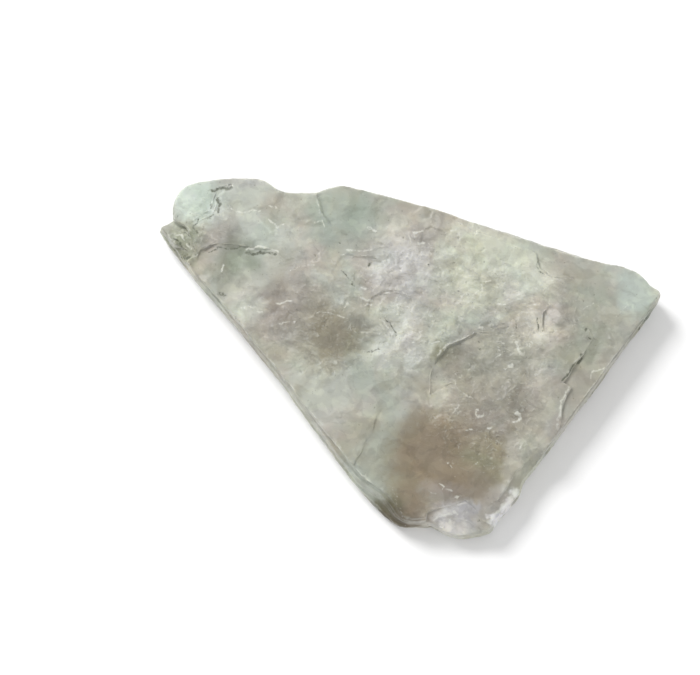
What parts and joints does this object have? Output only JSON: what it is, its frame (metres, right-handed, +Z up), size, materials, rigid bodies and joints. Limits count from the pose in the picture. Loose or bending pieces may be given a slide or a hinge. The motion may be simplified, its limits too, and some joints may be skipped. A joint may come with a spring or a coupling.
{
  "type": "gypsum stone",
  "caption": "Hand-sized cleavage plate of natural selenite gypsum, lying on its broad face, with straight cleaved edges, a broken corner and flaked terraces.",
  "frame": {"origin": "middle of the bounding box in plan, on the surface that the plate rests on", "axes": "+X along the plate's longest extent, +Z up through the plate's thickness, +Y towards its long far edge"},
  "size_m": [0.1506, 0.1078, 0.0137],
  "materials": {
    "gypsum": "milky grey-green selenite with white bruises and a soft, uneven shine"
  },
  "bodies": {
    "root": {"gypsum_plate": "gypsum"}
  },
  "joints": []
}
